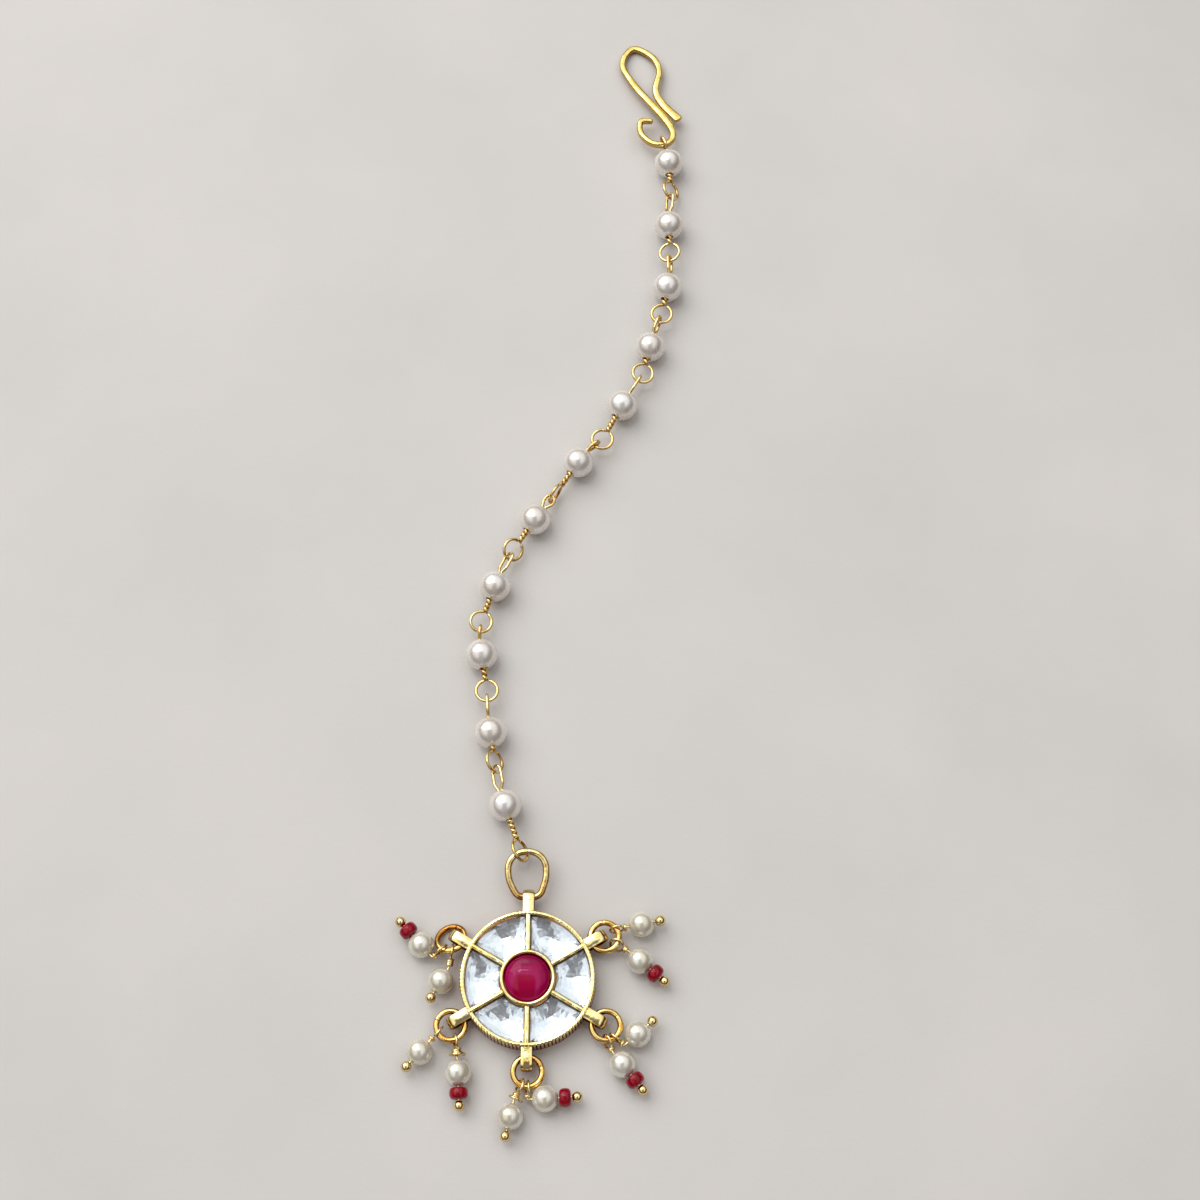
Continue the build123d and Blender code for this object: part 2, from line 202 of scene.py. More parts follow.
# ---- small geometry helpers ----
def heading(degrees):
    """Level direction, in degrees from +X toward +Y."""
    return Vector((math.cos(math.radians(degrees)), math.sin(math.radians(degrees)), 0))


def rolled(direction, roll):
    """Direction across another one: level at roll 0, turned about it by roll degrees."""
    level = Z.cross(direction).normalized()
    turn = math.radians(roll)
    return level * math.cos(turn) + direction.cross(level) * math.sin(turn)


def swelled(value, power):
    """Value between -1 and 1 raised to a power, with its sign kept: it squares off a round section."""
    return math.copysign(abs(value) ** power, value)


def arc(centre, u, v, radius, start, end, steps):
    """Points round centre, from u toward v, between two angles in degrees."""
    angles = [math.radians(start + (end - start) * k / steps) for k in range(steps + 1)]
    return [centre + u * (math.cos(a) * radius) + v * (math.sin(a) * radius) for a in angles]


def rounded(points, radii, step=0.12):
    """Points along straight runs joined by tangent arcs, one radius for each inner point."""
    out = [points[0].copy()]

    def run(a, b):
        count = max(1, round((b - a).length / step))
        for k in range(1, count + 1):
            out.append(a.lerp(b, k / count))

    start = points[0]
    for i, radius in enumerate(radii, 1):
        back = (points[i - 1] - points[i]).normalized()
        ahead = (points[i + 1] - points[i]).normalized()
        half = (math.pi - back.angle(ahead)) / 2
        cut = radius * math.tan(half)
        centre = points[i] + (back + ahead).normalized() * (radius / math.cos(half))
        a = points[i] + back * cut
        run(start, a)
        normal = back.cross(ahead).normalized()
        count = max(2, round(2 * half * radius / step))
        arm = a - centre
        for k in range(1, count + 1):
            out.append(centre + Matrix.Rotation(-2 * half * k / count, 3, normal) @ arm)
        start = out[-1].copy()
    run(start, points[-1])
    return out


def spline(points, per):
    """Smooth curve through all points, with per steps from each to the next."""
    out = []
    ends = [points[0] * 2 - points[1]] + list(points) + [points[-1] * 2 - points[-2]]
    for i in range(1, len(ends) - 2):
        p0, p1, p2, p3 = ends[i - 1 : i + 3]
        speed = p2 - p0
        bend = 2 * p0 - 5 * p1 + 4 * p2 - p3
        twist = 3 * p1 - p0 - 3 * p2 + p3
        for k in range(per):
            t = k / per
            out.append(0.5 * (2 * p1 + speed * t + bend * t * t + twist * t ** 3))
    out.append(points[-1].copy())
    return out


class Shape:
    """A mesh under construction, in millimetres."""

    def __init__(self):
        self.verts = []
        self.faces = []

    def skin(self, rows, closed=False, flip=False, capped=False):
        """Surface through closed rings of points that all have the same count."""
        base = len(self.verts)
        n = len(rows[0])
        for row in rows:
            self.verts += row
        for i in range(len(rows) if closed else len(rows) - 1):
            a = base + i * n
            b = base + ((i + 1) % len(rows)) * n
            for k in range(n):
                m = (k + 1) % n
                quad = (a + k, a + m, b + m, b + k)
                self.faces.append(quad[::-1] if flip else quad)
        if capped:
            self.cap(base, n, not flip)
            self.cap(base + n * (len(rows) - 1), n, flip)
        return base

    def cap(self, first, count, flip=False):
        """One face on a ring of points."""
        ring = tuple(range(first, first + count))
        self.faces.append(ring[::-1] if flip else ring)

    def tube(self, points, radius, sides=12):
        """Round wire along points, with softened ends."""
        last = len(points) - 1
        side = (points[1] - points[0]).normalized().orthogonal()
        rows = []
        for i, p in enumerate(points):
            tangent = (points[min(i + 1, last)] - points[max(i - 1, 0)]).normalized()
            side = (side - tangent * side.dot(tangent)).normalized()
            other = tangent.cross(side)
            turns = [2 * math.pi * k / sides for k in range(sides)]
            rows.append([p + side * (math.cos(a) * radius) + other * (math.sin(a) * radius) for a in turns])
        base = self.skin(rows)
        shrink, push = 0.72, 0.28  # of the radius, where the flat of each end begins
        for end, inward in ((0, 1), (last, last - 1)):
            middle = points[end]
            out = (middle - points[inward]).normalized()
            ring = base + end * sides
            inner = len(self.verts)
            for v in self.verts[ring : ring + sides]:
                self.verts.append(middle + (v - middle) * shrink + out * radius * push)
            for k in range(sides):
                m = (k + 1) % sides
                quad = (ring + k, inner + k, inner + m, ring + m)
                self.faces.append(quad[::-1] if end else quad)
            self.cap(inner, sides, flip=not end)

    def turned(self, profile, plane, segments, lump=0.0, seed=0.0):
        """Surface of revolution from (radius, height) pairs that run round a closed section."""
        base = len(self.verts)
        n = len(profile)
        shift = Vector((seed, seed * 1.7, 3.1))
        lumps_per_mm = 0.45
        for k in range(segments):
            t = 2 * math.pi * k / segments
            for r, h in profile:
                p = Vector((r * math.cos(t), r * math.sin(t), h))
                p *= 1 + lump * noise.noise(p * lumps_per_mm + shift)
                self.verts.append(plane @ p)
        for k in range(segments):
            a = base + k * n
            b = base + ((k + 1) % segments) * n
            for i in range(n):
                m = (i + 1) % n
                self.faces.append((a + i, b + i, b + m, a + m))

    def build(self, name, material, smooth=True, sharp=60):
        """The finished object. Edges over sharp degrees stay crisp."""
        mesh = bpy.data.meshes.new(name)
        mesh.from_pydata([v * MM for v in self.verts], [], self.faces)
        mesh.update()
        if smooth:
            mesh.shade_smooth()
            mesh.set_sharp_from_angle(angle=math.radians(sharp))
        mesh.materials.append(material)
        obj = bpy.data.objects.new(name, mesh)
        bpy.context.scene.collection.objects.link(obj)
        return obj


def plane_at(origin, axis):
    """Matrix that puts +Z on axis, in millimetres."""
    return Matrix.Translation(origin) @ axis.to_track_quat("Z", "Y").to_matrix().to_4x4()


def show(obj, slot, *nodes):
    """Put a piece on the one body, for the CAD nodes that it stands for; slot is not used."""
    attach(obj, "root")
    if nodes:
        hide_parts(*nodes)


# ---- materials ----
class Nodes:
    """Short calls for the nodes of a material or of the world."""

    def __init__(self, owner, shader, coords):
        owner.use_nodes = True
        self.owner = owner
        self.tree = owner.node_tree
        self.shader = next(n for n in self.tree.nodes if n.type == shader)
        self.coords = self.add("TexCoord").outputs[coords]

    def add(self, kind):
        return self.tree.nodes.new("ShaderNode" + kind)

    def feed(self, socket, value):
        """Link another node's output to a socket, or set the socket to a plain value."""
        if isinstance(value, bpy.types.NodeSocket):
            self.tree.links.new(value, socket)
        elif socket.type == "RGBA":
            socket.default_value = (*value, 1)
        else:
            socket.default_value = value

    def set(self, **values):
        """Feed the shader's inputs, which are named with _ for spaces."""
        for key, value in values.items():
            self.feed(self.shader.inputs[key.replace("_", " ")], value)

    def axes(self, vector):
        """A vector's X, Y and Z."""
        node = self.add("SeparateXYZ")
        self.feed(node.inputs[0], vector)
        return node.outputs

    def noise(self, per_mm, detail=3.0, rough=0.55):
        """Noise from 0 to 1 that stays with the object; per_mm is its scale for each millimetre."""
        place = self.add("Mapping")
        place.inputs["Scale"].default_value = [per_mm * 1000] * 3
        self.feed(place.inputs["Vector"], self.coords)
        node = self.add("TexNoise")
        node.inputs["Scale"].default_value = 1.0
        node.inputs["Detail"].default_value = detail
        node.inputs["Roughness"].default_value = rough
        self.feed(node.inputs["Vector"], place.outputs["Vector"])
        return node.outputs["Fac"]

    def ramp(self, fac, stops):
        """Colour between stops, which are pairs of a place and a colour."""
        node = self.add("ValToRGB")
        elements = node.color_ramp.elements
        while len(elements) < len(stops):
            elements.new(0.5)
        for element, (place, color) in zip(elements, stops):
            element.position = place
            element.color = (*color, 1)
        self.feed(node.inputs["Fac"], fac)
        return node.outputs["Color"]

    def spread(self, value, low, high, start=0.3, end=0.7, kind="LINEAR"):
        """Carry start to end over to low to high, and hold it there beyond them."""
        node = self.add("MapRange")
        node.interpolation_type = kind
        node.inputs["From Min"].default_value = start
        node.inputs["From Max"].default_value = end
        node.inputs["To Min"].default_value = low
        node.inputs["To Max"].default_value = high
        self.feed(node.inputs["Value"], value)
        return node.outputs["Result"]

    def mix(self, fac, a, b):
        """Colour a where fac is 0, and b where it is 1."""
        node = self.add("Mix")
        node.data_type = "RGBA"
        for place, value in ((0, fac), (6, a), (7, b)):
            self.feed(node.inputs[place], value)
        return node.outputs[2]

    def math(self, how, a, b=0.0):
        """A sum, product or other function of one or two numbers."""
        node = self.add("Math")
        node.operation = how
        self.feed(node.inputs[0], a)
        self.feed(node.inputs[1], b)
        return node.outputs[0]

    def bump(self, height, distance_mm):
        """Raise the surface by height over distance_mm, in its shading alone."""
        node = self.add("Bump")
        node.inputs["Strength"].default_value = 1.0
        node.inputs["Distance"].default_value = distance_mm * MM
        self.feed(node.inputs["Height"], height)
        self.feed(self.shader.inputs["Normal"], node.outputs["Normal"])


def new_material(name):
    return Nodes(bpy.data.materials.new(name), "BSDF_PRINCIPLED", "Object")


# painted shade: the brown of shade and dark reflections on low and side-facing gold
PAINTED_SHADE = (0.42, 0.19, 0.04)


def gold(name, light, deep, rough, dent, low, high):
    """Polished plating: warm patches, uneven gloss and small dents.

    It has painted shade, a brown that stands for shade and dark reflections, below the heights low to high
    and where it doesn't face up.
    """
    n = new_material(name)
    plating = n.ramp(n.noise(0.7, 4.0), [(0.34, deep), (0.56, light)])
    uneven = n.math("MULTIPLY", n.math("SUBTRACT", n.noise(1.1), 0.5), 0.9 * MM)
    level = n.math("ADD", n.axes(n.coords)["Z"], uneven)
    normal = n.add("NewGeometry").outputs["Normal"]
    upward = n.spread(n.axes(normal)["Z"], 0.2, 1.0, 0.15, 0.7)
    # painted shade: browner below the heights low to high and where the surface doesn't face up
    unshaded = n.math("MULTIPLY", n.spread(level, 0.0, 1.0, low * MM, high * MM), upward)
    gloss = n.spread(n.noise(2.3, 5.0), rough * 0.55, rough * 1.6)
    n.set(Metallic=1.0, Base_Color=n.mix(unshaded, PAINTED_SHADE, plating), Roughness=gloss)
    n.bump(n.math("ADD", n.noise(1.3, 2.0), n.math("MULTIPLY", n.noise(9.0, 4.0), 0.12)), dent)
    return n.owner


def lustre(name, body, tint, rim_tint):
    """Faux pearl: silvery nacre paint over a pale bead, with a faint drift of tint."""
    n = new_material(name)
    n.set(Metallic=0.45, Coat_Weight=0.3, Coat_Roughness=0.08, Coat_IOR=1.5)
    drift = n.ramp(n.noise(0.33, 3.0, 0.6), [(0.3, rim_tint), (0.5, body), (0.72, tint)])
    specks = n.spread(n.noise(3.5, 5.0, 0.65), 0.0, 0.2, 0.45, 0.8)
    n.set(Base_Color=n.mix(specks, drift, tint), Roughness=n.spread(n.noise(1.1), 0.20, 0.29))
    n.bump(n.noise(1.0), 0.015)
    return n.owner


def bead_glass():
    """Glassy crimson with darker and lighter swirls."""
    n = new_material("red_bead")
    swirls = n.ramp(n.noise(1.2, 4.0), [(0.3, (0.25, 0.0, 0.008)), (0.68, (0.52, 0.0, 0.022))])
    n.set(Base_Color=swirls, Roughness=0.06, Transmission_Weight=0.3, IOR=1.45, Specular_IOR_Level=0.4)
    n.bump(n.noise(2.5), 0.05)
    return n.owner


def clear_glass():
    """Glass with a slight uneven gloss."""
    n = new_material("clear_glass")
    n.set(Base_Color=(0.97, 0.985, 1.0), Transmission_Weight=1.0, IOR=1.46, Specular_IOR_Level=0.5)
    n.set(Roughness=n.spread(n.noise(1.4), 0.0, 0.04))
    n.bump(n.noise(0.6, 2.0), 0.012)
    return n.owner


def foil():
    """Silver foil with a cool drift of tint and fine creases."""
    n = new_material("silver_foil")
    silver = n.ramp(n.noise(0.7), [(0.3, (0.76, 0.84, 0.92)), (0.6, (0.90, 0.95, 0.97))])
    n.set(Metallic=1.0, Base_Color=silver, Roughness=n.spread(n.noise(1.5), 0.10, 0.26))
    n.bump(n.noise(1.6), 0.012)
    return n.owner


def ruby_glass():
    """Magenta glass with cloudy veils, and a painted reflection: a deeper squarish middle, a lighter band
    round it and a darker edge.
    """
    n = new_material("ruby_glass")
    n.set(Transmission_Weight=0.35, IOR=1.5, Roughness=0.08, Specular_IOR_Level=0.08)
    # painted reflection: colour set by a squarish distance from a point off the middle toward -X and -Y,
    # plus noise veils
    place = n.axes(n.coords)
    across = n.math("ABSOLUTE", n.math("ADD", place["X"], 0.45 * MM))
    along = n.math("ABSOLUTE", n.math("ADD", place["Y"], 1.35 * MM))
    square = n.math("POWER", n.math("ADD", n.math("POWER", across, 4.0), n.math("POWER", along, 4.0)), 0.25)
    reach = n.spread(square, 0.0, 1.0, 0.0, 4.0 * MM)
    reflection_and_veil = n.math("ADD", reach, n.math("MULTIPLY", n.math("SUBTRACT", n.noise(0.7), 0.5), 0.12))
    # deeper middle, lighter band, darker edge: painted reflection over the glass's own magenta
    stops = [(0.38, (0.50, 0.0, 0.065)), (0.46, (0.60, 0.012, 0.17)), (0.66, (0.54, 0.0, 0.12))]
    stops += [(0.98, (0.36, 0.0, 0.07))]
    n.set(Base_Color=n.ramp(reflection_and_veil, stops))
    n.bump(n.noise(0.5, 2.0), 0.008)
    return n.owner


def ruby_back():
    """Pink foil that lights the ruby from below."""
    n = new_material("ruby_back")
    pink = n.ramp(n.noise(0.8), [(0.3, (0.72, 0.03, 0.24)), (0.7, (0.90, 0.07, 0.36))])
    n.set(Metallic=0.8, Roughness=0.3, Base_Color=pink)
    return n.owner


GOLD = gold("gold_plate", (1.0, 0.90, 0.47), (0.96, 0.72, 0.20), 0.11, 0.03, low=2.3, high=3.3)
LINK_GOLD = gold("gold_wire", (1.0, 0.80, 0.37), (0.84, 0.54, 0.17), 0.12, 0.02, low=1.2, high=2.1)
PIN_GOLD = gold("gold_pin", (1.0, 0.83, 0.42), (0.90, 0.64, 0.25), 0.07, 0.015, low=0.8, high=1.6)
RING_GOLD = gold("gold_ring", (1.0, 0.76, 0.28), (0.82, 0.43, 0.07), 0.10, 0.025, low=1.5, high=2.2)
HOOK_GOLD = gold("gold_hook", (1.0, 0.84, 0.30), (0.90, 0.62, 0.14), 0.09, 0.04, low=0.3, high=1.1)
CHAIN_PEARL = lustre("chain_pearl", (0.88, 0.84, 0.79), (0.94, 0.925, 0.90), (0.82, 0.75, 0.67))
DROP_PEARL = lustre("drop_pearl", (0.85, 0.82, 0.71), (0.92, 0.91, 0.85), (0.76, 0.71, 0.55))
BEAD = bead_glass()
GLASS = clear_glass()
FOIL = foil()
RUBY = ruby_glass()
RUBY_BACK = ruby_back()


# ---- chain ----
def chain_pearls():
    """Centre of each link's pearl, worked out from the medallion's end."""
    pearls = [Vector((*LAST_PEARL, PEARL_R))]
    for link, lower in zip(LINKS[-2::-1], LINKS[::-1]):
        reach = PEARL_R + link.neck + LOOP_R
        pearls.append(pearls[-1] + heading(lower.lead) * lower.span + heading(link.axis) * reach)
    return pearls[::-1]


def hairpin_path(link, pearl, half_w):
    """Two strands out of the pearl that spread, and join round what the hairpin holds."""
    away = heading(link.axis)
    root = pearl + away * (PEARL_R + GAP)
    to_loop = pearl + heading(link.lead) * link.span - root
    out = to_loop.normalized()
    side = rolled(away, link.pin_roll) * STRAND_OFFSET
    spread = rolled(out, link.pin_roll) * half_w
    end = root + to_loop - out * HAIRPIN_SLACK
    knee = root + out * HAIRPIN_KNEE
    inner = pearl + away * (PEARL_R - HAIRPIN_INSERT)
    points = [inner + side, root + side, knee + spread, end + spread]
    points += [end - spread, knee - spread, root - side, inner - side]
    bend, tip = HAIRPIN_BEND_R, half_w - 0.02
    return rounded(points, [bend, bend, tip, tip, bend, bend])


def twist_paths(link, pearl, loop_side):
    """Two strands round each other, from inside the pearl to the round loop."""
    away = heading(link.axis)
    start = pearl - away * (PEARL_R - TWIST_INSERT)
    length = link.neck + TWIST_INSERT
    turns = max(0.5, round(length / TWIST_PITCH * 2) / 2)
    count = int(turns * 20) + 4
    strands = []
    for phase in (0, math.pi):
        strand = []
        for k in range(count + 1):
            t = k / count
            turn = phase + (t - 1) * turns * 2 * math.pi
            arm = loop_side * math.cos(turn) + away.cross(loop_side) * math.sin(turn)
            strand.append(start - away * (length * t) + arm * LINK_R * 1.06)
        strands.append(strand)
    return strands


def link_piece(number, link, pearl, half_w):
    """One wire folded into a hairpin, led through the pearl and twisted, with a round loop."""
    away = heading(link.axis)
    loop_side = rolled(away, link.loop_roll)
    centre = pearl - away * (PEARL_R + link.neck + LOOP_R)
    loop = arc(centre, away, loop_side, LOOP_R, 22, 336, 32)
    strand, other_strand = twist_paths(link, pearl, loop_side)
    # the round loop goes on from one strand and comes back to the neck
    lead_in = spline([strand[-3], strand[-1], loop[1], loop[3]], 5)
    shape = Shape()
    shape.tube(hairpin_path(link, pearl, half_w), LINK_R)
    shape.tube(strand[:-3] + lead_in + loop[4:], LINK_R)
    shape.tube(other_strand, LINK_R)
    return shape.build(f"link_wire_{number:02d}", LINK_GOLD)


def pearl_profile(radius, bore):
    """Closed section of a drilled ball: the outside, a small lip and the hole's wall."""
    rings, lip = 26, 0.1
    low = math.acos(bore / radius)
    profile = []
    for k in range(rings + 1):
        t = -low + 2 * low * k / rings
        profile.append((radius * math.cos(t), radius * math.sin(t)))
    top = profile[-1][1]
    profile[0] = (bore + lip * 0.5, -top + lip * 0.2)
    profile[-1] = (bore + lip * 0.5, top - lip * 0.2)
    return profile + [(bore, top - lip), (bore, 0), (bore, lip - top)]


pearls = chain_pearls()
for i, (link, pearl) in enumerate(zip(LINKS, pearls), 1):
    half_w = HOOK_HAIRPIN_HALF_W if i == 1 else HAIRPIN_HALF_W
    show(link_piece(i, link, pearl, half_w), "gold_plate", f"chain_link_{i:02d}")
    plane = plane_at(pearl, heading(link.axis))
    ball = Shape()
    ball.turned(pearl_profile(PEARL_R, PEARL_BORE_R), plane, 56, 0.012, i * 7.3)
    show(ball.build(f"pearl_{i:02d}", CHAIN_PEARL), "chain_pearl", f"chain_pearl_{i:02d}")


# ---- hook ----
# place along the bends, length, depth, and whether the dent is on the wire's side or on top
NICKS = [(7.55, 0.16, 0.12, True), (6.6, 0.1, 0.05, False)]


def hook_row(place, p, tangent, normal, sides=28):
    """Ring of points round the wire: fuller than an ellipse, hammered flat on top and underneath."""
    k = min(int(place), len(HOOK_BENDS) - 2)
    part = place - k
    bend, after = HOOK_BENDS[k : k + 2]
    half_w = bend.half_w * (1 - part) + after.half_w * part
    half_t = bend.half_t * (1 - part) + after.half_t * part
    across = normal.cross(tangent).normalized()
    up = tangent.cross(across)
    row = []
    for m in range(sides):
        a = 2 * math.pi * m / sides
        x = swelled(math.cos(a), 0.86) * half_w
        z = swelled(math.sin(a), 0.7) * half_t
        q = p + across * x + up * z
        dent = 0.035 * noise.noise(q * 0.75) + 0.012 * noise.noise(q * 2.4)
        for middle, length, depth, on_side in NICKS:
            facing = x / half_w if on_side else z / half_t
            dent -= depth * max(0.0, facing) * math.exp(-(((place - middle) / length) ** 2))
        row.append(q + (across * x + up * z).normalized() * dent)
    return row


def hook_end(row, centre, before):
    """Three shrinking rows beyond an end of the wire."""
    out = (centre - before).normalized()
    rows = []
    for t in (30, 58, 80):
        shrink = 0.25 + 0.75 * math.cos(math.radians(t))
        push = out * (0.34 * math.sin(math.radians(t)))
        rows.append([centre + (v - centre) * shrink + push for v in row])
    return rows


def hook_piece(foot):
    """Hammered wire along the hook's bends: broader at the shank, the neck and the flared tip."""
    path = spline([foot + Vector((b.x, b.y, -b.y * HOOK_FALL)) for b in HOOK_BENDS], 14)
    normal = Vector((0, HOOK_FALL, 1)).normalized()
    last = len(path) - 1
    rows = []
    for i, p in enumerate(path):
        place = i / last * (len(HOOK_BENDS) - 1)
        tangent = (path[min(i + 1, last)] - path[max(i - 1, 0)]).normalized()
        rows.append(hook_row(place, p, tangent, normal))
    first_end = hook_end(rows[0], path[0], path[1])
    tip = hook_end(rows[-1], path[-1], path[-2])
    shape = Shape()
    shape.skin(first_end[::-1] + rows + tip, capped=True)
    return shape.build("hair_hook", HOOK_GOLD)


hook_foot = pearls[0] + heading(LINKS[0].lead) * (LINKS[0].span - HOOK_SEAT)
show(hook_piece(hook_foot), "gold_hook", "hook")


# ---- drops ----
def pin_piece(number, drop):
    """Ball-headed pin: stem, eye loop and the wire's end wound back round the neck."""
    out = heading(drop.turn)
    centre = Vector((drop.x, drop.y, DROP_R))
    heel = DROP_R + HEEL + HEEL_SWING * abs(math.sin(math.radians(drop.bend)))
    root = centre - out * heel
    climb = math.radians(drop.rise)
    back = heading(drop.turn + drop.bend) * -math.cos(climb) + Z * math.sin(climb)
    ball = centre + out * (DROP_R + GAP + BALL_R + (BEAD_L + GAP if drop.has_bead else 0))
    eye_near = root + back * drop.neck
    eye = root + back * (drop.neck + EYE_R)
    axis = back.cross(rolled(-back, drop.roll)).normalized()
    side = back.cross(axis).normalized()
    shape = Shape()
    stem = [ball, root, eye_near]
    shape.tube(rounded(stem, [STEM_BEND_R]) if drop.bend else spline(stem, 8), STEM_R)
    # the eye leaves the neck's end, goes round and comes back to the first wrap
    loop = [root + back * (drop.neck * 0.5), eye_near - back * 0.1]
    loop += arc(eye, -back, side, EYE_R, 28, 332, 24)
    wound = drop.wrap / 2 - PIN_R
    free = max(drop.neck - GAP, 0.4)
    turns = max(1.6, free / WRAP_PITCH + 0.4)
    flare_turns = 1.3
    count = int(turns * 14)
    for k in range(count + 1):
        t = k / count
        a = -0.6 - t * turns * 2 * math.pi
        arm = side * math.cos(a) + axis * math.sin(a)
        flare = FLARES.get(number, 0.0) * max(0.0, t * turns - turns + flare_turns) / flare_turns
        loop.append(eye_near - back * (0.08 + (free - 0.3) * t) - arm * (wound + flare))
    shape.tube(spline(loop, 3), PIN_R, 10)
    section = []
    for k in range(17):
        t = -math.pi / 2 + math.pi * k / 16
        section.append((BALL_R * math.cos(t) + 1e-4, BALL_R * math.sin(t)))
    shape.turned(section, plane_at(ball, out), 32)
    return shape.build(f"pin_{number:02d}", PIN_GOLD)


def add_bead(shape, number, drop):
    """Slightly lumpy disc bead, drilled for the pin."""
    out = heading(drop.turn)
    place = Vector((drop.x, drop.y, DROP_R)) + out * (DROP_R + GAP + BEAD_L / 2)
    profile = []
    for k in range(15):
        t = math.radians(-90 + 180 * k / 14)
        radius = BEAD_NECK_R + (BEAD_R - BEAD_NECK_R) * abs(math.cos(t)) ** 0.75
        profile.append((radius, swelled(math.sin(t), 0.8) * BEAD_L / 2))
    profile += [(DROP_BORE_R, BEAD_L * 0.32), (DROP_BORE_R, -BEAD_L * 0.32)]
    shape.turned(profile, plane_at(place, out), 36, 0.03, number * 3.7)


beads = Shape()
for i, drop in enumerate(DROPS, 1):
    show(pin_piece(i, drop), "gold_plate", f"drop_pin_{i:02d}")
    plane = plane_at(Vector((drop.x, drop.y, DROP_R)), heading(drop.turn))
    ball = Shape()
    ball.turned(pearl_profile(DROP_R, DROP_BORE_R), plane, 48, 0.02, i * 5.1)
    show(ball.build(f"small_pearl_{i:02d}", DROP_PEARL), "drop_pearl", f"drop_pearl_{i:02d}")
    if drop.has_bead:
        add_bead(beads, i, drop)
show(beads.build("red_beads", BEAD), "red_bead", "drop_red_beads")


# ---- medallion ----
def side_angle(distance, radius):
    """Angle at which a line beside a spoke, at a distance from the spoke's middle, crosses a radius."""
    return math.degrees(math.asin(distance / radius))


def foil_piece(number, first_angle):
    """Dished foil with broad uneven facets under one stone."""
    rng = random.Random(number * 11 + 5)
    inner = COLLET_R + 0.16
    outer = MEDALLION_R - RIM_T - 0.06
    last_row, last_col = 7, 9
    shape = Shape()
    for i in range(last_row + 1):
        r = inner + (outer - inner) * i / last_row
        edge = side_angle(SPOKE_T / 2 + 0.06, r)
        for j in range(last_col + 1):
            radius = r
            turn = edge + (SECTOR - 2 * edge) * j / last_col
            u = 2 * i / last_row - 1
            v = 2 * j / last_col - 1
            depth = FOIL_LOW + FOIL_RISE * (1 - (1 - u * u) * (1 - v * v))
            if 0 < i < last_row and 0 < j < last_col:
                turn += rng.uniform(-1.6, 1.6)
                radius += rng.uniform(-0.16, 0.16)
                depth += rng.uniform(-0.012, 0.012)
            shape.verts.append(heading(first_angle + turn) * radius + Z * depth)
    for i in range(last_row):
        for j in range(last_col):
            a = i * (last_col + 1) + j
            b = a + last_col + 1
            if rng.random() < 0.5:
                shape.faces += [(a, b, b + 1), (a, b + 1, a + 1)]
            else:
                shape.faces += [(a, b, a + 1), (b, b + 1, a + 1)]
    return shape.build(f"foil_{number}", FOIL, smooth=False)


def stone_row(first_angle, inset, z):
    """Outline of a sector stone at one height, inset from its widest."""
    outer = MEDALLION_R - RIM_T - GAP - inset
    inner = COLLET_R + STONE_COLLET_GAP + inset
    row = []
    for radius, steps, back in ((outer, 10, False), (inner, 6, True)):
        edge = side_angle(SPOKE_T / 2 + GAP + inset, radius)
        for k in range(steps + 1):
            part = 1 - k / steps if back else k / steps
            turn = edge + part * (SECTOR - 2 * edge)
            row.append(heading(first_angle + turn) * radius + Z * z)
    return row


def stone_piece(number, first_angle):
    """Clear sector stone over the foil, with softened edges."""
    heights = ((0, STONE_BASE_Z), (0, STONE_GIRDLE_Z), (STONE_BEVEL, STONE_TABLE_Z))
    shape = Shape()
    shape.skin([stone_row(first_angle, inset, z) for inset, z in heights], capped=True)
    obj = shape.build(f"kundan_{number}", GLASS, smooth=False)
    bevel = obj.modifiers.new("bevel", "BEVEL")
    bevel.width = 0.09 * MM
    bevel.segments = 2
    bevel.limit_method = "ANGLE"
    bevel.angle_limit = math.radians(14)
    return obj


def ruby_piece():
    """Cabochon with a soft squarish flat that faces a little toward -Y, on rounded shoulders."""
    radius = COLLET_R - COLLET_T - GAP
    segments, steps = 96, 30
    flat_half_x, flat_half_y = 1.95, 1.75
    rows = [[heading(360 * k / segments) * r + Z * h for k in range(segments)] for r, h in RUBY_WALL]
    for i in range(1, steps + 1):
        row = []
        for k in range(segments):
            place = heading(360 * k / segments) * (radius * (1 - i / steps) + 0.01)
            x, y = place.x + 0.05, place.y + 0.3
            # height falls off outside a rounded square, and to the girdle at the edge
            square = (abs(x / flat_half_x) ** 4 + abs(y / flat_half_y) ** 4) ** 0.25
            fall = 0.5 * (1 + math.tanh((square - 1.12) * 3.2))
            height = RUBY_TOP_Z - 0.10 + 0.045 * place.y - 0.42 * fall
            height -= (height - RUBY_GIRDLE_Z) * (place.length / radius) ** 7
            row.append(Vector((place.x, place.y, min(height, RUBY_TOP_Z - 0.02))))
        rows.append(row)
    shape = Shape()
    shape.skin(rows, capped=True)
    return shape.build("ruby_cabochon", RUBY)


def ruby_foil():
    """Dished foil under the cabochon."""
    radius = COLLET_R - COLLET_T - 0.1
    segments, steps = 48, 9
    rows = []
    for i in range(steps):
        r = radius * (1 - i / steps)
        height = RUBY_FOIL_LOW + FOIL_RISE * (r / radius) ** 2
        rows.append([heading(360 * k / segments) * r + Z * height for k in range(segments)])
    shape = Shape()
    base = shape.skin(rows)
    shape.cap(base + segments * (steps - 1), segments)
    return shape.build("ruby_foil", RUBY_BACK)


